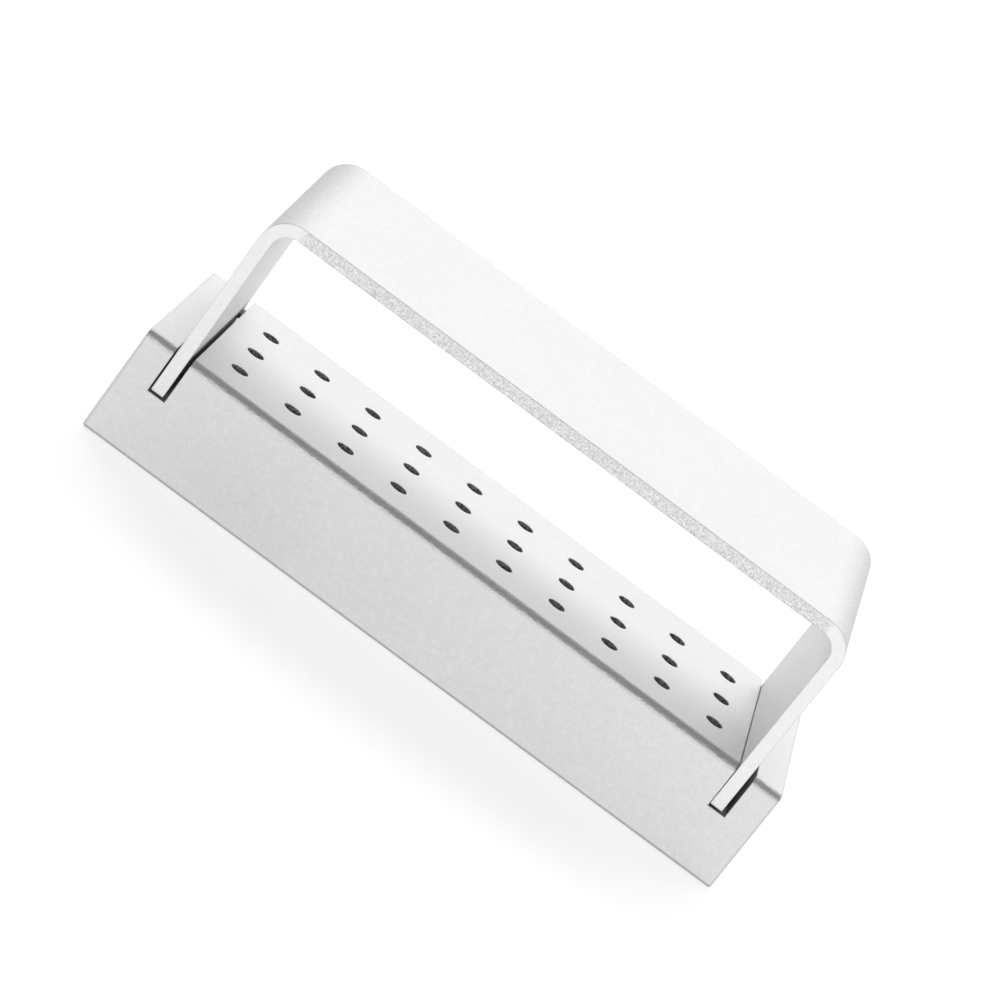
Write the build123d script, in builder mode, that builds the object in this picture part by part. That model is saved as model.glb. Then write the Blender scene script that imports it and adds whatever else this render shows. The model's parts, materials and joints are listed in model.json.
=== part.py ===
"""Dental bur block: a drilled aluminium block with a hinged cover strap.

Units are millimetres. +Z is up, +X runs along the rows of holes, +Y is the back.
The origin is the centre of the block's underside. The cover is drawn closed.
"""
import os
from math import cos, radians, sin, tan

from build123d import *

os.makedirs("parts", exist_ok=True)

# Block
block_length = 75.0
block_depth = 29.0
block_height = 11.85
top_edge_radius = 0.9
edge_radius = 0.3

# Bur holes: three rows of ten, a clearance fit on 1.6 mm friction-grip shanks
hole_columns = 10
hole_rows = 3
column_pitch = 6.35
row_pitch = 7.5
middle_row_y = -0.55
hole_diameter = 1.85
hole_depth = 9.0
drill_point_angle = 118
mouth_chamfer = 0.05

# Slots for the legs of the cover, sawn from front to back
slot_width = 2.0
slot_depth = 5.1
slot_centre_x = 33.3

# Cover: one strip bent twice
strip_thickness = 1.4
strip_width = 26.4
cover_length = 67.9
cover_height = 22.1
bend_radius = 1.9
leg_end_radius = 0.3
heel_radius = 1.0
strip_edge_break = 0.1

# Hinge, near the back edge of each leg and just under the top face of the block
pivot_from_back_edge = 1.0
pivot_from_leg_end = 2.35
pin_diameter = 1.2
pin_length = 7.0
pin_chamfer = 0.15
pin_recess = 0.2
running_clearance = 0.05

# Closed, the cover leans forward and its front lower corners are just above the slot floors
closed_lean = 3.5
closed_gap = 0.2
cover_side_play = -0.17

lean = radians(closed_lean)
pivot_from_front_edge = strip_width - pivot_from_back_edge
front_corner_drop = pivot_from_front_edge * sin(lean) + pivot_from_leg_end * cos(lean)
pivot_z = block_height - slot_depth + closed_gap + front_corner_drop

# The front edges of the legs come up through the top face level with the front face
front_edge_rise = (block_height - pivot_z + pivot_from_front_edge * sin(lean)) / cos(lean)
pivot_y = -block_depth / 2 + pivot_from_front_edge * cos(lean) + front_edge_rise * sin(lean)

pin_seat_depth = pin_length + pin_recess


with BuildPart() as bur_block:
    Box(
        block_length,
        block_depth,
        block_height,
        align=(Align.CENTER, Align.CENTER, Align.MIN),
    )
    # The long top edges are well rounded, and all the others only broken
    top_edges = bur_block.edges().filter_by(Axis.X).group_by(Axis.Z)[-1]
    fillet(top_edges, radius=top_edge_radius)
    fillet(bur_block.edges().filter_by(Axis.X).group_by(Axis.Z)[0], radius=edge_radius)
    end_faces = bur_block.faces().filter_by(Axis.X)
    fillet(end_faces.edges(), radius=edge_radius * 0.9)

    # Blind holes with a drill point, slightly broken at the mouth
    hole_radius = hole_diameter / 2
    point_length = hole_radius / tan(radians(drill_point_angle / 2))
    with BuildPart(mode=Mode.PRIVATE) as drill:
        with BuildSketch(Plane.XZ):
            with BuildLine():
                Polyline(
                    (0, mouth_chamfer),
                    (hole_radius + 2 * mouth_chamfer, mouth_chamfer),
                    (hole_radius, -mouth_chamfer),
                    (hole_radius, -hole_depth),
                    (0, -hole_depth - point_length),
                    close=True,
                )
            make_face()
        revolve(axis=Axis.Z)
    with Locations((0, middle_row_y, block_height)):
        with GridLocations(column_pitch, row_pitch, hole_columns, hole_rows):
            add(drill.part, mode=Mode.SUBTRACT)

    # Leg slots, open at the top, the front and the back
    with Locations(
        (-slot_centre_x, 0, block_height),
        (slot_centre_x, 0, block_height),
    ):
        Box(
            slot_width,
            2 * block_depth,
            slot_depth,
            align=(Align.CENTER, Align.CENTER, Align.MAX),
            mode=Mode.SUBTRACT,
        )

    # Seats of the pivot pins: in from each end face, across the slot and into the middle
    for side in (-1, 1):
        with BuildSketch(Plane.YZ.offset(side * block_length / 2)):
            with Locations((pivot_y, pivot_z)):
                Circle(pin_diameter / 2)
        extrude(amount=-side * pin_seat_depth, mode=Mode.SUBTRACT)
bur_block.part.label = "bur_block"


# The bent strip seen from the front, with its leg ends at the bottom
with BuildSketch() as strip_outline:
    Rectangle(cover_length, cover_height, align=(Align.CENTER, Align.MIN))
    top_corners = strip_outline.vertices().group_by(Axis.Y)[-1]
    fillet(top_corners, radius=bend_radius + strip_thickness)
    with BuildSketch(mode=Mode.PRIVATE) as bridged_space:
        Rectangle(
            cover_length - 2 * strip_thickness,
            cover_height - strip_thickness,
            align=(Align.CENTER, Align.MIN),
        )
        fillet(bridged_space.vertices().group_by(Axis.Y)[-1], radius=bend_radius)
    add(bridged_space.sketch, mode=Mode.SUBTRACT)
    fillet(strip_outline.vertices().group_by(Axis.Y)[0], radius=leg_end_radius)

# The cover upright, with the pivot axis along X through the origin
with BuildPart() as upright_cover:
    with BuildSketch(Plane.XZ.offset(pivot_from_front_edge)):
        with Locations((0, -pivot_from_leg_end)):
            add(strip_outline.sketch)
    extrude(amount=-strip_width)
    back_edge = upright_cover.faces().sort_by(Axis.Y)[-1]
    front_edge = upright_cover.faces().sort_by(Axis.Y)[0]
    chamfer(back_edge.edges() + front_edge.edges(), length=strip_edge_break)
    # In side view the heel of each leg is rounded, where it swings past the slot floor
    with BuildSketch(Plane.YZ) as side_outline:
        with Locations((pivot_from_back_edge, -pivot_from_leg_end)):
            Rectangle(strip_width, cover_height, align=(Align.MAX, Align.MIN))
        heel = side_outline.vertices().group_by(Axis.Z)[0].sort_by(Axis.Y)[-1]
        fillet(heel, radius=heel_radius)
    extrude(amount=cover_length, both=True, mode=Mode.INTERSECT)
    Cylinder(
        pin_diameter / 2 + running_clearance,
        2 * cover_length,
        rotation=(0, 90, 0),
        mode=Mode.SUBTRACT,
    )

with BuildPart() as cover_strap:
    with Locations(Location((cover_side_play, pivot_y, pivot_z), (closed_lean, 0, 0))):
        add(upright_cover.part)
cover_strap.part.label = "cover_strap"


# One dowel pin on the X axis, and its two places in the block
with BuildPart() as dowel_pin:
    Cylinder(pin_diameter / 2, pin_length, rotation=(0, 90, 0))
    chamfer(dowel_pin.edges().filter_by(GeomType.CIRCLE), length=pin_chamfer)

pin_centre_x = block_length / 2 - pin_recess - pin_length / 2

with BuildPart() as left_pivot_pin:
    with Locations((-pin_centre_x, pivot_y, pivot_z)):
        add(dowel_pin.part)
left_pivot_pin.part.label = "left_pivot_pin"

with BuildPart() as right_pivot_pin:
    with Locations((pin_centre_x, pivot_y, pivot_z)):
        add(dowel_pin.part)
right_pivot_pin.part.label = "right_pivot_pin"


export_step(bur_block.part, "parts/bur_block.step")
export_step(cover_strap.part, "parts/cover_strap.step")
export_step(left_pivot_pin.part, "parts/left_pivot_pin.step")
export_step(right_pivot_pin.part, "parts/right_pivot_pin.step")
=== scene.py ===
# %% [markdown]
# # A dental bur block
#
# The real object is a low aluminium billet with three rows of small blind holes for dental burs. A flat
# strip, bent into a wide U, bridges the holes and swings back on two pins. Everything is bead-blasted and
# anodised silver. The mechanical model is loaded first, as a fixed frame, and the visible pieces are built
# round it.

import json
from math import cos, radians, sin, tan

import bmesh
import bpy
from mathutils import Matrix, Vector

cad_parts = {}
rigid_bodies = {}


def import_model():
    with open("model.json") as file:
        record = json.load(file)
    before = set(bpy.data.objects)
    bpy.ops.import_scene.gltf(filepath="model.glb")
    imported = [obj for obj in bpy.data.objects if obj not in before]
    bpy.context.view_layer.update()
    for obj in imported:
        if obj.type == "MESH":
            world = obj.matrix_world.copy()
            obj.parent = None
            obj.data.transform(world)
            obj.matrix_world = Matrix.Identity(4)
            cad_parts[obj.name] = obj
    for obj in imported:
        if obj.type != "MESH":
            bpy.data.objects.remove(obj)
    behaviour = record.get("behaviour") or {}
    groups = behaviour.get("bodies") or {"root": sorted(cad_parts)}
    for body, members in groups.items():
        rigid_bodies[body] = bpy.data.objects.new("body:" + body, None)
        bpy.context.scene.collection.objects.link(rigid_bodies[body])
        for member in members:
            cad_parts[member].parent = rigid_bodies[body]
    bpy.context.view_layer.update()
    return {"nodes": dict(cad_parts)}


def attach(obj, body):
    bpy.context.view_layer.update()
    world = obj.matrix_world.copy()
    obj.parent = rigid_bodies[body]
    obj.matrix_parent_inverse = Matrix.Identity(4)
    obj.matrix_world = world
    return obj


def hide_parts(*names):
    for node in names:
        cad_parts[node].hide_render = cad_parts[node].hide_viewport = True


MM = 0.001

for leftover in list(bpy.data.objects):
    bpy.data.objects.remove(leftover)
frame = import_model()
print("nodes", list(frame["nodes"]))

# %% [markdown]
# ## The camera
#
# The photograph was taken with a long lens from about 380 mm away, a little above the block, with the
# camera rolled so that the block runs from the upper left to the lower right. Three things place a camera:
# the point that it stands at, the point that it looks at, and its roll about the line between them.

# %% Place the camera
CAMERA_STAND = Vector((-13.21, -362.96, 122.15)) * MM
CAMERA_TARGET = Vector((-0.72, 0.0, 14.57)) * MM
CAMERA_ROLL = 37.135
CAMERA_LENS, FILM_WIDTH = 138.44, 36.0
NEAREST_SEEN = 10 * MM

camera_data = bpy.data.cameras.new("photo_camera")
camera_data.lens = CAMERA_LENS
camera_data.sensor_width = FILM_WIDTH
camera_data.clip_start = NEAREST_SEEN
camera = bpy.data.objects.new("photo_camera", camera_data)
bpy.context.scene.collection.objects.link(camera)
sight = (CAMERA_TARGET - CAMERA_STAND).to_track_quat("-Z", "Y")
camera.matrix_world = (
    Matrix.Translation(CAMERA_STAND)
    @ sight.to_matrix().to_4x4()
    @ Matrix.Rotation(radians(CAMERA_ROLL), 4, "Z")
)
bpy.context.scene.camera = camera
print("camera stands", round((CAMERA_TARGET - CAMERA_STAND).length / MM), "mm from its target")

# %% [markdown]
# ## Small helpers for node trees
#
# Materials, the world and Geometry Nodes are all node trees. One helper adds a node and fills its sockets:
# a number is written into the socket, and another node's output is linked to it.

# %% A helper that adds a node and fills its sockets
def put(tree, kind, settings=None, **sockets):
    """Adds a node. settings are its properties, and sockets its inputs by name, with _ for a space."""
    made = tree.nodes.new(kind)
    for name, value in (settings or {}).items():
        setattr(made, name, value)
    for name, value in sockets.items():
        fill(tree, made.inputs[name.replace("_", " ")], value)
    return made


def fill(tree, socket, value):
    """Links an output to a socket, or writes a plain value into it."""
    if isinstance(value, bpy.types.NodeSocket):
        tree.links.new(value, socket)
    else:
        socket.default_value = value


def arithmetic(tree, operation, first, second=0.0, third=0.0):
    """The output of one Math node."""
    made = put(tree, "ShaderNodeMath", {"operation": operation})
    for socket, value in zip(made.inputs, (first, second, third)):
        fill(tree, socket, value)
    return made.outputs[0]


# %% [markdown]
# ## The studio
#
# The photograph shows the block on pure white. Its matt metal still mirrors the room: the rounded front
# edge is a dark line, so it's dark straight overhead, and the top gets brighter towards the back, so a
# broad light stands behind the block. The world here is three ramps of grey by height, one each for the
# back, the front and the sides, with soft borders between them, and the right side is brighter than the
# left. The white itself comes from the paper on the floor, further on.

# %% How far a direction points to the back
world = bpy.data.worlds.new("soft_room")
world.use_nodes = True
bpy.context.scene.world = world
sky = world.node_tree
sky.nodes.clear()
direction = put(sky, "ShaderNodeTexCoord").outputs["Generated"]
heading = put(sky, "ShaderNodeSeparateXYZ", Vector=direction)
across = arithmetic(sky, "POWER", heading.outputs["X"], 2.0)
along = arithmetic(sky, "POWER", heading.outputs["Y"], 2.0)
level_length = arithmetic(sky, "SQRT", arithmetic(sky, "ADD", across, along))
NEVER_ZERO = 0.0001
level_length = arithmetic(sky, "ADD", level_length, NEVER_ZERO)
to_back = arithmetic(sky, "DIVIDE", heading.outputs["Y"], level_length)
print("the sky reads the direction with", len(sky.nodes), "nodes")

# %% Helpers for soft borders and ramps of grey
def soft_step(tree, value, start, stop):
    """0 below start and 1 above stop, with a smooth rise between them."""
    step = put(tree, "ShaderNodeMapRange", {"interpolation_type": "SMOOTHSTEP"}, Value=value)
    step.inputs["From Min"].default_value = start
    step.inputs["From Max"].default_value = stop
    return step.outputs[0]


def light_by_height(tree, stops):
    """A grey level that follows the height in the sky, from 0 at the horizon to 1 at the zenith."""
    ramp = put(tree, "ShaderNodeValToRGB", Fac=heading.outputs["Z"])
    ramp.color_ramp.interpolation = "EASE"
    elements = ramp.color_ramp.elements
    for index, (place, level) in enumerate(stops):
        stop = elements[index] if index < 2 else elements.new(place)
        stop.position = place
        stop.color = (level, level, level, 1.0)
    return ramp.outputs["Color"]


# %% Light from the world
# Each stop is a height in the sky and the strength of the light there
BACK_LIGHT = ((0.0, 1.3), (0.4, 1.4), (0.6, 1.2), (0.74, 2.2), (0.84, 2.1), (0.9, 0.3))
FRONT_LIGHT = ((0.0, 1.8), (0.2, 1.7), (0.36, 0.4), (0.52, 0.15), (0.9, 0.3))
SIDE_LIGHT = ((0.0, 0.45), (0.5, 0.35), (0.7, 0.25), (0.9, 0.3))
BORDER_START, BORDER_STOP = 0.45, 0.8
MORE_FROM_RIGHT = 0.75
to_front = arithmetic(sky, "MULTIPLY", to_back, -1.0)
back_share = soft_step(sky, to_back, BORDER_START, BORDER_STOP)
front_share = soft_step(sky, to_front, BORDER_START, BORDER_STOP)
side_share = arithmetic(sky, "SUBTRACT", arithmetic(sky, "SUBTRACT", 1.0, back_share), front_share)
right_or_left = arithmetic(sky, "MULTIPLY_ADD", heading.outputs["X"], MORE_FROM_RIGHT, 1.0)
side_share = arithmetic(sky, "MULTIPLY", side_share, right_or_left)
room_light = arithmetic(sky, "MULTIPLY", light_by_height(sky, BACK_LIGHT), back_share)
room_light = arithmetic(sky, "MULTIPLY_ADD", light_by_height(sky, FRONT_LIGHT), front_share, room_light)
room_light = arithmetic(sky, "MULTIPLY_ADD", light_by_height(sky, SIDE_LIGHT), side_share, room_light)
room = put(sky, "ShaderNodeBackground", Color=(1, 1, 1, 1), Strength=room_light)
put(sky, "ShaderNodeOutputWorld", Surface=room.outputs[0])
print("world light at the back", BACK_LIGHT)

# %% [markdown]
# ## The paper on the floor
#
# The photograph has nothing but white round the block. A wide sheet of pale paper does the same here, and
# still takes the shadow of the block. A glow lifts the paper to white, and only the camera, mirrored rays
# and rays through glass see that glow.

# %% A plain pale floor that keeps the shadow
PAPER_GREY, PAPER_GLOW = 0.82, 0.6

floor_mesh = bpy.data.meshes.new("floor")
reach = 3.0
floor_mesh.from_pydata(
    [(-reach, -reach, 0), (reach, -reach, 0), (reach, reach, 0), (-reach, reach, 0)],
    [],
    [(0, 1, 2, 3)],
)
floor = bpy.data.objects.new("floor", floor_mesh)
bpy.context.scene.collection.objects.link(floor)
paper = bpy.data.materials.new("pale_paper")
paper.use_nodes = True
paper_tree = paper.node_tree
paper_tree.nodes.clear()
paper_tone = put(paper_tree, "ShaderNodeBsdfDiffuse", Color=(PAPER_GREY, PAPER_GREY, PAPER_GREY, 1))
paper_lift = put(paper_tree, "ShaderNodeEmission", Color=(1, 1, 1, 1), Strength=PAPER_GLOW)
paper_sum = put(paper_tree, "ShaderNodeAddShader")
paper_tree.links.new(paper_tone.outputs[0], paper_sum.inputs[0])
paper_tree.links.new(paper_lift.outputs[0], paper_sum.inputs[1])
paper_seen = put(paper_tree, "ShaderNodeLightPath")
seen_or_mirrored = arithmetic(
    paper_tree, "MAXIMUM", paper_seen.outputs["Is Camera Ray"], paper_seen.outputs["Is Glossy Ray"]
)
seen_or_mirrored = arithmetic(
    paper_tree, "MAXIMUM", seen_or_mirrored, paper_seen.outputs["Is Transmission Ray"]
)
paper_mix = put(paper_tree, "ShaderNodeMixShader", Fac=seen_or_mirrored)
paper_tree.links.new(paper_tone.outputs[0], paper_mix.inputs[1])
paper_tree.links.new(paper_sum.outputs[0], paper_mix.inputs[2])
put(paper_tree, "ShaderNodeOutputMaterial", Surface=paper_mix.outputs[0])
floor_mesh.materials.append(paper)
print("floor is", 2 * reach, "m wide")

# %% [markdown]
# ## Bead-blasted, anodised aluminium
#
# Blasting with fine glass beads leaves a matt skin of tiny dents, about a tenth of a millimetre across.
# Anodising seals it with a pale, slightly cloudy skin. The dents are bump from fine noise, and the clouds
# are a slow change of tone. The broken edges get painted shade, as thin dark lines, and the Bevel node
# finds them by comparing two normals. The patterns read Object coordinates in millimetres, so a pattern's
# scale is about the number of its grains to a millimetre.

# %% Patterns, broken edges and marks on the mesh
DENTS, PITS, COARSE, CLOUDS = 7.0, 4.5, 1.6, 0.06
EDGE_REACH = 0.22 * MM
FLAT_LIKENESS, SHARP_LIKENESS = 0.995, 0.85


def in_millimetres(tree):
    """The place on the piece, from Object coordinates, in millimetres."""
    place = put(tree, "ShaderNodeTexCoord").outputs["Object"]
    per_mm = put(tree, "ShaderNodeVectorMath", {"operation": "SCALE"})
    fill(tree, per_mm.inputs[0], place)
    per_mm.inputs["Scale"].default_value = 1 / MM
    return per_mm.outputs[0]


def noise(tree, at, scale, detail=2.0, roughness=0.6):
    """The grey value of a noise pattern. It is 0.5 on average."""
    made = put(tree, "ShaderNodeTexNoise", Vector=at, Scale=scale, Detail=detail, Roughness=roughness)
    return made.outputs["Fac"]


def broken_edge(tree):
    """0 on a flat face and 1 on a sharp edge, where the Bevel node's normal leaves the true one."""
    edge_normal = put(tree, "ShaderNodeBevel", {"samples": 4}, Radius=EDGE_REACH)
    true_normal = put(tree, "ShaderNodeNewGeometry").outputs["True Normal"]
    likeness = put(tree, "ShaderNodeVectorMath", {"operation": "DOT_PRODUCT"})
    fill(tree, likeness.inputs[0], edge_normal.outputs[0])
    fill(tree, likeness.inputs[1], true_normal)
    edge = put(tree, "ShaderNodeMapRange", Value=likeness.outputs["Value"])
    edge.inputs["From Min"].default_value = FLAT_LIKENESS
    edge.inputs["From Max"].default_value = SHARP_LIKENESS
    return edge.outputs[0]


def mark_on_mesh(tree, name):
    """The value of an attribute of the mesh, and 0 where the mesh has none of that name."""
    return put(tree, "ShaderNodeAttribute", {"attribute_name": name}).outputs["Fac"]


# %% [markdown]
# ## Where the skin is different
#
# Three places look different from the flat faces in the photograph. The rounded edges of the block get
# painted shade and are more coarsely dented, and underneath they get a painted shadow. The sawn edge of the
# cover is speckled between its two bends, and smooth and pale on the bends and legs. Both faces of the bends
# get painted shade and a grain of their own. Faces are marked as rounded or sawn when the mesh is made. The
# bends are found by their place on the piece.

# %% Painted shade on the rounded edges of the block
# Painted shade on the rounded edges, and a painted shadow on them near the ground
ROUNDED_PAINTED_SHADE, UNDERSIDE_PAINTED_SHADOW = -0.12, -0.2
UNDERSIDE_FULL_MM, UNDERSIDE_GONE_MM = 0.15, 0.45
ROUNDED_DENTS = 2.5
ROUNDED_MATT = -0.12


def paint_shade_on_rounded(tree, shade, rounded, high):
    """The tone with painted shade on the rounded edges, and a painted shadow where they turn under the
    block.
    """
    lifted = soft_step(tree, high, UNDERSIDE_FULL_MM, UNDERSIDE_GONE_MM)
    painted_underside_shadow = arithmetic(tree, "MAXIMUM", arithmetic(tree, "SUBTRACT", rounded, lifted), 0.0)
    shade = arithmetic(tree, "MULTIPLY_ADD", rounded, ROUNDED_PAINTED_SHADE, shade)
    return arithmetic(tree, "MULTIPLY_ADD", painted_underside_shadow, UNDERSIDE_PAINTED_SHADOW, shade)


# %% The sawn edge and the bends of the cover
SPECKLE, SAWN_DENTS = 0.9, 2.0
SMOOTH_SAWN_TONE = 0.11
SPECKLE_FULL_MM, SPECKLE_GONE_MM = 30.2, 31.2
BENT_START_MM, BENT_FULL_MM = 29.5, 33.5
UPPER_START_MM, UPPER_FULL_MM = 23.0, 28.0
# Painted shade on the bends, with a grain of their own
BEND_GRAIN, BEND_PAINTED_SHADE = 0.5, -0.42


def saw_and_shade_bends(tree, shade, height, pits, place, sawn_tone):
    """The tone and bump height with the speckle of the saw, and with painted shade and a grain on the bends.
    """
    sawn = mark_on_mesh(tree, "sawn_face")
    aside = arithmetic(tree, "ABSOLUTE", place.outputs["X"])
    upper = soft_step(tree, place.outputs["Z"], UPPER_START_MM, UPPER_FULL_MM)
    past_bridge = soft_step(tree, aside, SPECKLE_FULL_MM, SPECKLE_GONE_MM)
    on_bridge = arithmetic(tree, "MAXIMUM", arithmetic(tree, "SUBTRACT", upper, past_bridge), 0.0)
    rough_sawn = arithmetic(tree, "MULTIPLY", sawn, on_bridge)
    smooth_sawn = arithmetic(tree, "SUBTRACT", sawn, rough_sawn)
    speckle = arithmetic(tree, "MULTIPLY_ADD", pits, SPECKLE, sawn_tone - SPECKLE / 2)
    shade = arithmetic(tree, "MULTIPLY_ADD", rough_sawn, speckle, shade)
    shade = arithmetic(tree, "MULTIPLY_ADD", smooth_sawn, SMOOTH_SAWN_TONE, shade)
    # Painted shade on both faces of the bends, where they turn away from the light, with a grain
    bent = arithmetic(tree, "MULTIPLY", soft_step(tree, aside, BENT_START_MM, BENT_FULL_MM), upper)
    bend_painted_shade = arithmetic(tree, "MULTIPLY", bent, arithmetic(tree, "SUBTRACT", 1.0, sawn))
    bend_grain_and_shade = arithmetic(tree, "MULTIPLY_ADD", pits, BEND_GRAIN, BEND_PAINTED_SHADE)
    shade = arithmetic(tree, "MULTIPLY_ADD", bend_painted_shade, bend_grain_and_shade, shade)
    pitted = arithmetic(tree, "MULTIPLY", rough_sawn, SAWN_DENTS)
    return shade, arithmetic(tree, "MULTIPLY_ADD", pitted, pits, height)


# %% The blasted finish
CLOUD_TONE, DENT_TONE, COARSE_TONE = 0.05, 0.16, 0.10
MATT_CHANGE = 0.10
BLUE_TINT = 1.002
DENT_DEPTH = 0.025 * MM


def blasted_metal(name, tone, roughness, painted_edge_shade_tone, sawn_tone=None):
    """A matt metal with bead-blast grain and painted shade on its broken edges. Only a sawn piece has a
    sawn_tone.
    """
    finish = bpy.data.materials.new(name)
    finish.use_nodes = True
    tree = finish.node_tree
    tree.nodes.clear()
    at = in_millimetres(tree)
    place = put(tree, "ShaderNodeSeparateXYZ", Vector=at)
    dents = noise(tree, at, DENTS)
    pits = noise(tree, at, PITS)
    coarse = noise(tree, at, COARSE, roughness=0.5)
    clouds = noise(tree, at, CLOUDS, detail=3.0, roughness=0.55)
    rounded = mark_on_mesh(tree, "rounded_edge")

    darkest = tone - (CLOUD_TONE + DENT_TONE + COARSE_TONE) / 2
    shade = arithmetic(tree, "MULTIPLY_ADD", clouds, CLOUD_TONE, darkest)
    shade = arithmetic(tree, "MULTIPLY_ADD", dents, DENT_TONE, shade)
    shade = arithmetic(tree, "MULTIPLY_ADD", coarse, COARSE_TONE, shade)
    # Painted shade: the broken edges are made darker, more where the coarse noise is high
    painted_edge_shade = arithmetic(tree, "MULTIPLY", broken_edge(tree), coarse)
    shade = arithmetic(tree, "MULTIPLY_ADD", painted_edge_shade, painted_edge_shade_tone, shade)
    # Painted shade on the rounded edges, and a painted shadow where they turn under the block
    shade = paint_shade_on_rounded(tree, shade, rounded, place.outputs["Z"])
    toothed = arithmetic(tree, "MULTIPLY", rounded, ROUNDED_DENTS)
    height = arithmetic(tree, "MULTIPLY_ADD", toothed, pits, dents)
    if sawn_tone is not None:
        shade, height = saw_and_shade_bends(tree, shade, height, pits, place, sawn_tone)

    colour = put(tree, "ShaderNodeCombineColor", Red=shade, Green=shade)
    fill(tree, colour.inputs["Blue"], arithmetic(tree, "MULTIPLY", shade, BLUE_TINT))
    matt = arithmetic(tree, "MULTIPLY_ADD", coarse, MATT_CHANGE, roughness - MATT_CHANGE / 2)
    matt = arithmetic(tree, "MULTIPLY_ADD", rounded, ROUNDED_MATT, matt)
    bump = put(tree, "ShaderNodeBump", Strength=1.0, Distance=DENT_DEPTH, Height=height)
    metal = put(
        tree,
        "ShaderNodeBsdfPrincipled",
        Base_Color=colour.outputs[0],
        Roughness=matt,
        Normal=bump.outputs[0],
    )
    metal.inputs["Metallic"].default_value = 0.85
    put(tree, "ShaderNodeOutputMaterial", Surface=metal.outputs[0])
    return finish


# The edge tones are painted shade on the broken edges
block_finish = blasted_metal("blasted_block", tone=0.80, roughness=0.52, painted_edge_shade_tone=-0.34)
cover_finish = blasted_metal(
    "blasted_cover", tone=0.80, roughness=0.48, painted_edge_shade_tone=-0.6, sawn_tone=-0.03
)
print("finishes", block_finish.name, cover_finish.name)

# %% [markdown]
# ## Bare cut walls
#
# Inside the holes and slots the walls get a darker tone than the skin, as painted shade for these deep,
# narrow recesses.
# Drills and saw blades leave faint marks, so these walls get one noise, which moves between a dark and a
# light tone.

# %% The walls of the holes and slots
MARKS_PER_METRE = 4000.0
MARKS_LOW, MARKS_HIGH = 0.3, 0.7
MARK_DEPTH = 0.01 * MM


def machined_wall(name, dark, light):
    """A bare cut wall with faint marks of the tool, painted darker as shade in a deep recess. Its tone
    wanders between dark and light.
    """
    finish = bpy.data.materials.new(name)
    finish.use_nodes = True
    tree = finish.node_tree
    tree.nodes.clear()
    place = put(tree, "ShaderNodeTexCoord").outputs["Object"]
    marks = put(tree, "ShaderNodeTexNoise", Vector=place, Scale=MARKS_PER_METRE, Detail=2.0)
    shade = put(tree, "ShaderNodeMapRange", Value=marks.outputs["Fac"])
    shade.inputs["From Min"].default_value = MARKS_LOW
    shade.inputs["From Max"].default_value = MARKS_HIGH
    shade.inputs["To Min"].default_value = dark
    shade.inputs["To Max"].default_value = light
    colour = put(tree, "ShaderNodeCombineColor", Red=shade.outputs[0], Green=shade.outputs[0])
    fill(tree, colour.inputs["Blue"], shade.outputs[0])
    bump = put(tree, "ShaderNodeBump", Strength=0.3, Distance=MARK_DEPTH, Height=marks.outputs["Fac"])
    metal = put(
        tree,
        "ShaderNodeBsdfPrincipled",
        Base_Color=colour.outputs[0],
        Roughness=0.5,
        Normal=bump.outputs[0],
    )
    metal.inputs["Metallic"].default_value = 0.6
    put(tree, "ShaderNodeOutputMaterial", Surface=metal.outputs[0])
    return finish


# The dark tones inside the holes and slots are painted shade
hole_shaded_finish = machined_wall("hole_wall", dark=0.15, light=0.6)
slot_shaded_finish = machined_wall("slot_wall", dark=0.38, light=0.6)
print("cut walls use", hole_shaded_finish.name, "and", slot_shaded_finish.name)

# %% [markdown]
# ## The block
#
# The real block is sawn from bar, its edges are rounded, and a machine drills the same hole thirty times on
# a grid. The model follows it: a rounded billet first, then a node tree that sets drills out on a grid and
# takes them away from the billet. Change a pitch or a count, and every hole follows.

# %% Sizes of the block
BLOCK = Vector((75.0, 29.0, 11.85)) * MM
TOP_RADIUS, EDGE_RADIUS = 0.9 * MM, 0.3 * MM
COLUMNS, ROWS = 10, 3
COLUMN_PITCH, ROW_PITCH, MIDDLE_ROW_Y = 6.35 * MM, 7.5 * MM, -0.55 * MM
HOLE_RADIUS, HOLE_DEPTH = 0.925 * MM, 9.0 * MM
POINT_ANGLE = 118
MOUTH = 0.05 * MM
SLOT_WIDTH, SLOT_DEPTH, SLOT_X = 2.0 * MM, 5.1 * MM, 33.3 * MM
print("block is", [round(side / MM, 2) for side in BLOCK], "mm")

# %% The rounded billet
CORNER_STEPS = 8
UNDER_EDGE_SHARE = 1.2
SAME_PLACE = 0.1 * MM
SQUARE_FACE = 0.999


def end_outline(depth, height, top_radius, bottom_radius, steps):
    """The outline of an end face, as points (y, z): a rectangle with rounded corners."""
    outline = []
    corners = (
        (depth / 2, 0.0, bottom_radius, -90),
        (depth / 2, height, top_radius, 0),
        (-depth / 2, height, top_radius, 90),
        (-depth / 2, 0.0, bottom_radius, 180),
    )
    for y, z, radius, start in corners:
        middle_y = y - radius if y > 0 else y + radius
        middle_z = z - radius if z > 0 else z + radius
        for step in range(steps + 1):
            turn = radians(start + 90 * step / steps)
            outline.append((middle_y + radius * cos(turn), middle_z + radius * sin(turn)))
    return outline


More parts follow.
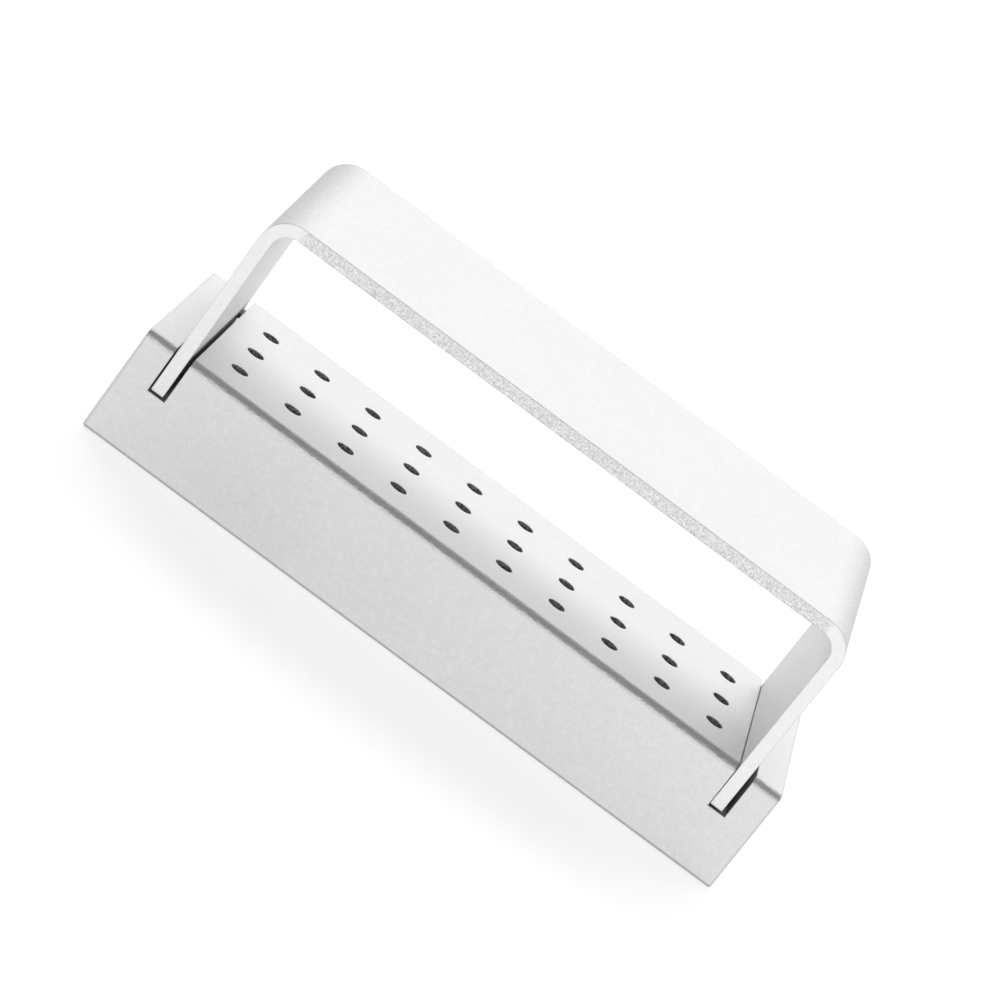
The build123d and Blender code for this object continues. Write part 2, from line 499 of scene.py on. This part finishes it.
def rounded_billet(name, size, top_radius, edge_radius):
    """A bar along X on the ground, with its long top edges well rounded and the others only broken."""
    outline = end_outline(size.y, size.z, top_radius, edge_radius * UNDER_EDGE_SHARE, CORNER_STEPS)
    shape = bmesh.new()
    ends = [
        [shape.verts.new((side * size.x / 2, y, z)) for y, z in outline] for side in (-1, 1)
    ]
    count = len(outline)
    for here in range(count):
        there = (here + 1) % count
        shape.faces.new((ends[0][here], ends[1][here], ends[1][there], ends[0][there]))
    shape.faces.new(ends[0])
    shape.faces.new(ends[1][::-1])
    bmesh.ops.recalc_face_normals(shape, faces=shape.faces)
    # The rims of the end faces are the edges that don't run along the bar
    rims = [edge for edge in shape.edges if abs(edge.verts[0].co.x - edge.verts[1].co.x) < SAME_PLACE]
    bmesh.ops.bevel(shape, geom=rims, offset=edge_radius, segments=3, profile=0.5, affect="EDGES")
    shape.normal_update()
    rounded = shape.faces.layers.float.new("rounded_edge")
    for face in shape.faces:
        face[rounded] = 1.0 if max(abs(part) for part in face.normal) < SQUARE_FACE else 0.0
    mesh = bpy.data.meshes.new(name)
    shape.to_mesh(mesh)
    shape.free()
    billet = bpy.data.objects.new(name, mesh)
    bpy.context.scene.collection.objects.link(billet)
    return billet


block = rounded_billet("bur_block_blasted", BLOCK, TOP_RADIUS, EDGE_RADIUS)
print("billet has", len(block.data.polygons), "faces")

# %% [markdown]
# ## Helpers for Geometry Nodes
#
# A tree made with Geometry Nodes is a recipe with named sizes. The modifier gets its sizes first, and only
# then is the recipe followed. The result is kept as a plain mesh, so nothing has to be worked out again
# later.

# %% Make a tree, give it to an object, keep the result
def recipe(name, sizes):
    """A Geometry Nodes tree with named inputs. Returns the tree, its inputs and its output node."""
    tree = bpy.data.node_groups.new(name, "GeometryNodeTree")
    tree.interface.new_socket("Geometry", in_out="OUTPUT", socket_type="NodeSocketGeometry")
    tree.interface.new_socket("Geometry", in_out="INPUT", socket_type="NodeSocketGeometry")
    for label, kind in sizes:
        tree.interface.new_socket(label, in_out="INPUT", socket_type="NodeSocket" + kind)
    return tree, tree.nodes.new("NodeGroupInput").outputs, tree.nodes.new("NodeGroupOutput")


def follow_recipe(piece, tree, values):
    """Puts the tree on the piece as a modifier and fills its inputs."""
    modifier = piece.modifiers.new(tree.name, "NODES")
    modifier.node_group = tree
    for item in tree.interface.items_tree:
        if item.in_out == "INPUT" and item.name in values:
            modifier[item.identifier] = values[item.name]


def break_edges(piece, width, limit):
    """Rounds the sharp edges of the piece a little, and lets the flat faces keep flat shading."""
    rounding = piece.modifiers.new("edge_break", "BEVEL")
    rounding.width = width
    rounding.segments = 2
    rounding.limit_method = "ANGLE"
    rounding.angle_limit = radians(limit)
    shading = piece.modifiers.new("even_shading", "WEIGHTED_NORMAL")
    shading.weight = 80


def keep_as_mesh(piece):
    """Replaces the mesh of the piece with what its modifiers make of it, and removes them."""
    seen_by = bpy.context.evaluated_depsgraph_get()
    made = bpy.data.meshes.new_from_object(
        piece.evaluated_get(seen_by), preserve_all_data_layers=True, depsgraph=seen_by
    )
    piece.modifiers.clear()
    piece.data = made
    made.name = piece.name
    low = [min(vertex.co[axis] for vertex in made.vertices) for axis in range(3)]
    high = [max(vertex.co[axis] for vertex in made.vertices) for axis in range(3)]
    spans = [round((last - first) / MM, 2) for first, last in zip(low, high)]
    print(piece.name, len(made.polygons), "faces,", spans, "mm")


def combine(tree, x=0.0, y=0.0, z=0.0):
    """A vector made of three numbers, each written or linked."""
    return put(tree, "ShaderNodeCombineXYZ", X=x, Y=y, Z=z).outputs[0]


def pick_by_index(tree, kind, choices):
    """A field that gives the first choice to point 0, the second to point 1, and so on."""
    point_number = tree.nodes.new("GeometryNodeInputIndex").outputs[0]
    chooser = put(tree, "GeometryNodeIndexSwitch", {"data_type": kind}, Index=point_number)
    while len(chooser.index_switch_items) < len(choices):
        chooser.index_switch_items.new()
    for number, choice in enumerate(choices):
        fill(tree, chooser.inputs[number + 1], choice)
    return chooser.outputs[0]


# %% The recipe that drills and slots a billet
tree, size, result = recipe(
    "drilled_block",
    [
        ("Columns", "Int"),
        ("Rows", "Int"),
        ("Column pitch", "Float"),
        ("Row pitch", "Float"),
        ("Middle row", "Float"),
        ("Top", "Float"),
        ("Hole radius", "Float"),
        ("Hole depth", "Float"),
        ("Drill point", "Float"),
        ("Mouth", "Float"),
        ("Slot width", "Float"),
        ("Slot depth", "Float"),
        ("Slot run", "Float"),
        ("Slot place", "Float"),
        ("Pin radius", "Float"),
        ("Pin depth", "Float"),
        ("Pin places", "Vector"),
        ("Skin", "Material"),
        ("Hole wall", "Material"),
        ("Slot wall", "Material"),
    ],
)
print("the recipe has", len(tree.interface.items_tree), "inputs and outputs")

# %% One drill bit: a circle swept down a short line, wider at the mouth and closed to a point at the tip
CLEAR_ABOVE = 1.0 * MM
TIP_RADIUS = 0.001 * MM
SAME_POINT = 0.01 * MM

stations = put(tree, "GeometryNodeMeshLine", Count=5)
line = put(tree, "GeometryNodeMeshToCurve", Mesh=stations.outputs[0])
depth_down = arithmetic(tree, "MULTIPLY", size["Hole depth"], -1.0)
tip_down = arithmetic(tree, "SUBTRACT", depth_down, size["Drill point"])
mouth_down = arithmetic(tree, "MULTIPLY", size["Mouth"], -1.0)
levels = (CLEAR_ABOVE, size["Mouth"], mouth_down, depth_down, tip_down)
stops = pick_by_index(tree, "VECTOR", [combine(tree, z=level) for level in levels])
line = put(tree, "GeometryNodeSetPosition", Geometry=line.outputs[0], Position=stops)
wide = arithmetic(tree, "MULTIPLY_ADD", size["Mouth"], 2.0, size["Hole radius"])
widths = pick_by_index(tree, "FLOAT", [wide, wide, size["Hole radius"], size["Hole radius"], TIP_RADIUS])
ring = put(tree, "GeometryNodeCurvePrimitiveCircle", Resolution=40, Radius=1.0)
bit = put(
    tree,
    "GeometryNodeCurveToMesh",
    Curve=line.outputs[0],
    Profile_Curve=ring.outputs[0],
    Scale=widths,
    Fill_Caps=True,
)
bit = put(tree, "GeometryNodeMergeByDistance", Geometry=bit.outputs[0], Distance=SAME_POINT)
print("a drill bit takes", len(tree.nodes), "nodes")

# %% The bit goes to every point of a grid
gaps_across = arithmetic(tree, "SUBTRACT", size["Columns"], 1.0)
gaps_deep = arithmetic(tree, "SUBTRACT", size["Rows"], 1.0)
grid = put(
    tree,
    "GeometryNodeMeshGrid",
    Size_X=arithmetic(tree, "MULTIPLY", gaps_across, size["Column pitch"]),
    Size_Y=arithmetic(tree, "MULTIPLY", gaps_deep, size["Row pitch"]),
    Vertices_X=size["Columns"],
    Vertices_Y=size["Rows"],
)
drills = put(tree, "GeometryNodeInstanceOnPoints", Points=grid.outputs[0], Instance=bit.outputs[0])
grid_middle = combine(tree, 0.0, size["Middle row"], size["Top"])
drills = put(tree, "GeometryNodeTransform", Geometry=drills.outputs[0], Translation=grid_middle)
drills = put(tree, "GeometryNodeRealizeInstances", Geometry=drills.outputs[0])
drills = put(tree, "GeometryNodeSetMaterial", Geometry=drills.outputs[0], Material=size["Hole wall"])
print("with the grid there are", len(tree.nodes), "nodes")

# %% Two saw blades for the slots, and two drills for the seats of the pins
blade_tall = arithmetic(tree, "MULTIPLY", size["Slot depth"], 2.0)
blade_size = combine(tree, size["Slot width"], size["Slot run"], blade_tall)
pin_turn = combine(tree, y=radians(90))
cuts = put(tree, "GeometryNodeJoinGeometry")
seats = put(tree, "GeometryNodeJoinGeometry")
for side in (-1, 1):
    blade = put(tree, "GeometryNodeMeshCube", Size=blade_size)
    blade_at = combine(tree, arithmetic(tree, "MULTIPLY", size["Slot place"], side), 0.0, size["Top"])
    blade = put(tree, "GeometryNodeTransform", Geometry=blade.outputs[0], Translation=blade_at)
    blade = put(tree, "GeometryNodeSetMaterial", Geometry=blade.outputs[0], Material=size["Slot wall"])
    tree.links.new(blade.outputs[0], cuts.inputs[0])
    seat = put(
        tree, "GeometryNodeMeshCylinder", Vertices=32, Radius=size["Pin radius"], Depth=size["Pin depth"]
    )
    seat_at = put(tree, "ShaderNodeVectorMath", {"operation": "MULTIPLY"})
    fill(tree, seat_at.inputs[0], size["Pin places"])
    seat_at.inputs[1].default_value = (side, 1, 1)
    seat = put(
        tree,
        "GeometryNodeTransform",
        Geometry=seat.outputs[0],
        Translation=seat_at.outputs[0],
        Rotation=pin_turn,
    )
    tree.links.new(seat.outputs[0], seats.inputs[0])
tree.links.new(drills.outputs[0], cuts.inputs[0])
print("with the blades there are", len(tree.nodes), "nodes")

# %% Take the cutters away from the billet, and give each wall its finish
skinned = put(tree, "GeometryNodeSetMaterial", Geometry=size["Geometry"], Material=size["Skin"])
opened = skinned
for cutter in (cuts, seats):
    before = opened
    opened = put(tree, "GeometryNodeMeshBoolean", {"operation": "DIFFERENCE", "solver": "EXACT"})
    tree.links.new(before.outputs[0], opened.inputs["Mesh 1"])
    tree.links.new(cutter.outputs[0], opened.inputs["Mesh 2"])
smooth = put(tree, "GeometryNodeSetShadeSmooth", Geometry=opened.outputs[0])
whole = put(tree, "GeometryNodeRealizeInstances", Geometry=smooth.outputs[0])

# The faces of the billet have finish number 0, and get their skin once more at the end
finish_number = put(tree, "GeometryNodeInputMaterialIndex")
is_skin = put(tree, "FunctionNodeCompare", {"data_type": "INT", "operation": "EQUAL"})
fill(tree, is_skin.inputs[2], finish_number.outputs[0])
is_skin.inputs[3].default_value = 0
final = put(
    tree,
    "GeometryNodeSetMaterial",
    Geometry=whole.outputs[0],
    Selection=is_skin.outputs[0],
    Material=size["Skin"],
)
tree.links.new(final.outputs[0], result.inputs[0])
drilled_block = tree
print("recipe", tree.name, "has", len(tree.nodes), "nodes")

# %% [markdown]
# ## The hinge
#
# The seats of the pins are drilled where the hinge is, so the hinge is worked out before the block is cut.
# The closed cover leans a little forward, its lower front corners stand just above the floors of the slots,
# and the front edges of its legs come out of the block level with its front face. The place of the hinge
# follows.

# %% Sizes of the cover, its hinge and its pins
COVER_LENGTH, COVER_HEIGHT = 67.9 * MM, 22.1 * MM
STRIP_THICKNESS, STRIP_WIDTH = 1.4 * MM, 26.4 * MM
LEAN = radians(3.5)
CLOSED_GAP, SIDE_PLAY = 0.2 * MM, -0.17 * MM
BACK_OVERHANG, END_OVERHANG = 1.0 * MM, 2.35 * MM
PIN_RADIUS, PIN_LENGTH, PIN_RECESS = 0.6 * MM, 7.0 * MM, 0.2 * MM
RUNNING_CLEARANCE = 0.05 * MM
REACH = STRIP_WIDTH - BACK_OVERHANG
PIVOT_Z = BLOCK.z - SLOT_DEPTH + CLOSED_GAP + REACH * sin(LEAN) + END_OVERHANG * cos(LEAN)
RISE = (BLOCK.z - PIVOT_Z + REACH * sin(LEAN)) / cos(LEAN)
PIVOT_Y = -BLOCK.y / 2 + REACH * cos(LEAN) + RISE * sin(LEAN)
print("hinge at y", round(PIVOT_Y / MM, 2), "and z", round(PIVOT_Z / MM, 2), "mm")

# %% Cut the block
EDGE_BREAK = 0.12 * MM

follow_recipe(
    block,
    drilled_block,
    {
        "Columns": COLUMNS,
        "Rows": ROWS,
        "Column pitch": COLUMN_PITCH,
        "Row pitch": ROW_PITCH,
        "Middle row": MIDDLE_ROW_Y,
        "Top": BLOCK.z,
        "Hole radius": HOLE_RADIUS,
        "Hole depth": HOLE_DEPTH,
        "Drill point": HOLE_RADIUS / tan(radians(POINT_ANGLE / 2)),
        "Mouth": MOUTH,
        "Slot width": SLOT_WIDTH,
        "Slot depth": SLOT_DEPTH,
        "Slot run": 2 * BLOCK.y,
        "Slot place": SLOT_X,
        "Pin radius": PIN_RADIUS,
        "Pin depth": 2 * (PIN_LENGTH + PIN_RECESS),
        "Pin places": (BLOCK.x / 2, PIVOT_Y, PIVOT_Z),
        "Skin": block_finish,
        "Hole wall": hole_shaded_finish,
        "Slot wall": slot_shaded_finish,
    },
)
break_edges(block, EDGE_BREAK, limit=60)
keep_as_mesh(block)
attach(block, "block")
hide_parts("bur_block")

# %% [markdown]
# ## The cover
#
# The cover is one flat strip, bent twice on a small radius, with its long edges left as the saw left them.
# The recipe sweeps a flat section along a path with two rounded corners, trims it to the outline seen from
# the side, with a rounded heel, and bores the legs for the pins. Then it leans the cover forward onto its
# rest.

# %% The recipe that bends a strip
tree, size, result = recipe(
    "bent_strip",
    [
        ("Length", "Float"),
        ("Height", "Float"),
        ("Thickness", "Float"),
        ("Width", "Float"),
        ("Bend", "Float"),
        ("Heel", "Float"),
        ("Back overhang", "Float"),
        ("End overhang", "Float"),
        ("Pin hole", "Float"),
        ("Lean", "Float"),
        ("Pivot", "Vector"),
        ("Finish", "Material"),
    ],
)
print("the recipe has", len(tree.interface.items_tree), "inputs and outputs")

# %% A flat section swept along a path with two bends
SPARE = 1.0 * MM
BEND_STEPS = 14

straight = arithmetic(tree, "SUBTRACT", size["Length"], size["Thickness"])
half = arithmetic(tree, "MULTIPLY", straight, 0.5)
minus_half = arithmetic(tree, "MULTIPLY", half, -1.0)
middle_height = arithmetic(tree, "MULTIPLY_ADD", size["Thickness"], -0.5, size["Height"])
path = put(tree, "GeometryNodeCurvePrimitiveQuadrilateral", {"mode": "POINTS"})
corners = [(minus_half, -SPARE), (minus_half, middle_height), (half, middle_height), (half, -SPARE)]
for number, (x, y) in enumerate(corners):
    fill(tree, path.inputs["Point %d" % (number + 1)], combine(tree, x, y))
path = put(tree, "GeometryNodeSetSplineCyclic", Geometry=path.outputs[0], Cyclic=False)
bend = arithmetic(tree, "MULTIPLY_ADD", size["Thickness"], 0.5, size["Bend"])
path = put(
    tree,
    "GeometryNodeFilletCurve",
    {"mode": "POLY"},
    Curve=path.outputs[0],
    Radius=bend,
    Count=BEND_STEPS,
)
path = put(tree, "GeometryNodeSetCurveNormal", {"mode": "Z_UP"}, Curve=path.outputs[0])
wide_enough = arithmetic(tree, "ADD", size["Width"], 2 * SPARE)
section = put(
    tree,
    "GeometryNodeCurvePrimitiveQuadrilateral",
    {"mode": "RECTANGLE"},
    Width=size["Thickness"],
    Height=wide_enough,
)
strip = put(
    tree, "GeometryNodeCurveToMesh", Curve=path.outputs[0], Profile_Curve=section.outputs[0], Fill_Caps=True
)
strip_middle = arithmetic(tree, "MULTIPLY_ADD", size["Width"], -0.5, size["Back overhang"])
bottom = arithmetic(tree, "MULTIPLY", size["End overhang"], -1.0)
strip = put(
    tree,
    "GeometryNodeTransform",
    Geometry=strip.outputs[0],
    Translation=combine(tree, 0.0, strip_middle, bottom),
    Rotation=combine(tree, x=radians(90)),
)
print("the bent strip takes", len(tree.nodes), "nodes")

# %% Trim it to its outline seen from the side: a rectangle with a rounded heel, pushed through end to end
HEEL_STEPS = 10

front = arithmetic(tree, "SUBTRACT", size["Back overhang"], size["Width"])
over_pivot = arithmetic(tree, "SUBTRACT", size["Height"], size["End overhang"])
roof = arithmetic(tree, "ADD", over_pivot, SPARE)
outline = put(tree, "GeometryNodeCurvePrimitiveQuadrilateral", {"mode": "POINTS"})
around = [(size["Back overhang"], bottom), (size["Back overhang"], roof), (front, roof), (front, bottom)]
for number, (y, z) in enumerate(around):
    fill(tree, outline.inputs["Point %d" % (number + 1)], combine(tree, y, z))
heel_only = pick_by_index(tree, "FLOAT", [size["Heel"], 0.0, 0.0, 0.0])
outline = put(
    tree,
    "GeometryNodeFilletCurve",
    {"mode": "POLY"},
    Curve=outline.outputs[0],
    Radius=heel_only,
    Count=HEEL_STEPS,
)
outline = put(tree, "GeometryNodeFillCurve", {"mode": "NGONS"}, Curve=outline.outputs[0])
pushed = put(
    tree,
    "GeometryNodeExtrudeMesh",
    {"mode": "FACES"},
    Mesh=outline.outputs[0],
    Offset=(0.0, 0.0, 1.0),
    Offset_Scale=arithmetic(tree, "MULTIPLY", size["Length"], 2.0),
    Individual=False,
)
base = put(tree, "GeometryNodeFlipFaces", Mesh=outline.outputs[0])
prism = put(tree, "GeometryNodeJoinGeometry")
tree.links.new(pushed.outputs[0], prism.inputs[0])
tree.links.new(base.outputs[0], prism.inputs[0])
prism = put(tree, "GeometryNodeMergeByDistance", Geometry=prism.outputs[0], Distance=SAME_POINT)
prism = put(
    tree,
    "GeometryNodeTransform",
    Geometry=prism.outputs[0],
    Translation=combine(tree, arithmetic(tree, "MULTIPLY", size["Length"], -1.0)),
    Rotation=combine(tree, radians(90), 0.0, radians(90)),
)
trimmed = put(tree, "GeometryNodeMeshBoolean", {"operation": "INTERSECT", "solver": "EXACT"})
tree.links.new(strip.outputs[0], trimmed.inputs["Mesh 2"])
tree.links.new(prism.outputs[0], trimmed.inputs["Mesh 2"])
print("with the side outline there are", len(tree.nodes), "nodes")

# %% Bore it for the pins, mark its sawn edges and lean it forward
SQUARE_ON = 0.9

bore = put(
    tree,
    "GeometryNodeMeshCylinder",
    Vertices=32,
    Radius=size["Pin hole"],
    Depth=arithmetic(tree, "MULTIPLY", size["Length"], 2.0),
)
bore_turn = combine(tree, y=radians(90))
bore = put(tree, "GeometryNodeTransform", Geometry=bore.outputs[0], Rotation=bore_turn)
bored = put(tree, "GeometryNodeMeshBoolean", {"operation": "DIFFERENCE", "solver": "EXACT"})
tree.links.new(trimmed.outputs[0], bored.inputs["Mesh 1"])
tree.links.new(bore.outputs[0], bored.inputs["Mesh 2"])

# The sawn edges are marked before the cover leans, while they still face straight to the front and back
facing = tree.nodes.new("GeometryNodeInputNormal").outputs[0]
facing = put(tree, "ShaderNodeSeparateXYZ", Vector=facing)
along_y = arithmetic(tree, "ABSOLUTE", facing.outputs["Y"])
sawn = arithmetic(tree, "GREATER_THAN", along_y, SQUARE_ON)
marked = put(
    tree,
    "GeometryNodeStoreNamedAttribute",
    {"data_type": "FLOAT", "domain": "FACE"},
    Geometry=bored.outputs[0],
    Name="sawn_face",
    Value=sawn,
)
leant = put(
    tree,
    "GeometryNodeTransform",
    Geometry=marked.outputs[0],
    Translation=size["Pivot"],
    Rotation=combine(tree, x=size["Lean"]),
)
smooth = put(tree, "GeometryNodeSetShadeSmooth", Geometry=leant.outputs[0])
whole = put(tree, "GeometryNodeRealizeInstances", Geometry=smooth.outputs[0])
final = put(tree, "GeometryNodeSetMaterial", Geometry=whole.outputs[0], Material=size["Finish"])
tree.links.new(final.outputs[0], result.inputs[0])
bent_strip = tree
print("recipe", tree.name, "has", len(tree.nodes), "nodes")

# %% Bend the cover
BEND_RADIUS, HEEL_RADIUS = 1.9 * MM, 1.0 * MM

cover = bpy.data.objects.new("cover_strap_blasted", bpy.data.meshes.new("cover_strap_blasted"))
bpy.context.scene.collection.objects.link(cover)
follow_recipe(
    cover,
    bent_strip,
    {
        "Length": COVER_LENGTH,
        "Height": COVER_HEIGHT,
        "Thickness": STRIP_THICKNESS,
        "Width": STRIP_WIDTH,
        "Bend": BEND_RADIUS,
        "Heel": HEEL_RADIUS,
        "Back overhang": BACK_OVERHANG,
        "End overhang": END_OVERHANG,
        "Pin hole": PIN_RADIUS + RUNNING_CLEARANCE,
        "Lean": LEAN,
        "Pivot": (SIDE_PLAY, PIVOT_Y, PIVOT_Z),
        "Finish": cover_finish,
    },
)
break_edges(cover, EDGE_BREAK, limit=40)
keep_as_mesh(cover)
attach(cover, "cover")
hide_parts("cover_strap")

# %% [markdown]
# ## The pins
#
# Two ground steel dowels carry the legs. Only their ends are seen, a little sunk in the end faces, and
# their middles in the slots. Grinding leaves fine lines round the pin.

# %% Ground steel for the pins
LINES_ALONG, LINES_ROUND = 9000, 900
STEEL_MATT, STEEL_MATT_CHANGE = 0.32, 0.2
# The steel is set darker than bare steel, as painted shade for the pins deep in the slots
SHADED_STEEL_TONE, STEEL_TONE_CHANGE = 0.40, 0.12
STEEL_BLUE_TINT = 1.02
LINE_DEPTH = 0.004 * MM

pin_finish = bpy.data.materials.new("ground_steel")
pin_finish.use_nodes = True
pin_tree = pin_finish.node_tree
pin_tree.nodes.clear()
pin_place = put(pin_tree, "ShaderNodeTexCoord").outputs["Object"]
squeeze = put(pin_tree, "ShaderNodeMapping", Vector=pin_place)
squeeze.inputs["Scale"].default_value = (LINES_ALONG, LINES_ROUND, LINES_ROUND)
lines = put(pin_tree, "ShaderNodeTexNoise", Vector=squeeze.outputs[0], Scale=1.0, Detail=3.0).outputs["Fac"]
pin_rough = arithmetic(pin_tree, "MULTIPLY_ADD", lines, STEEL_MATT_CHANGE, STEEL_MATT)
pin_shade = arithmetic(pin_tree, "MULTIPLY_ADD", lines, STEEL_TONE_CHANGE, SHADED_STEEL_TONE)
pin_blue = arithmetic(pin_tree, "MULTIPLY", pin_shade, STEEL_BLUE_TINT)
pin_colour = put(pin_tree, "ShaderNodeCombineColor", Red=pin_shade, Green=pin_shade, Blue=pin_blue)
pin_bump = put(pin_tree, "ShaderNodeBump", Strength=0.2, Distance=LINE_DEPTH, Height=lines)
pin_metal = put(
    pin_tree,
    "ShaderNodeBsdfPrincipled",
    Base_Color=pin_colour.outputs[0],
    Roughness=pin_rough,
    Normal=pin_bump.outputs[0],
)
pin_metal.inputs["Metallic"].default_value = 1.0
put(pin_tree, "ShaderNodeOutputMaterial", Surface=pin_metal.outputs[0])
for name in ("left_pivot_pin", "right_pivot_pin"):
    pin = bpy.data.objects[name]
    pin.data.materials.clear()
    pin.data.materials.append(pin_finish)
print("pins finished in", pin_finish.name)

# %% [markdown]
# ## The view transform
#
# The colours are shown through the Standard view transform.

# %% Show the colours through the Standard view transform
bpy.context.scene.view_settings.view_transform = "Standard"
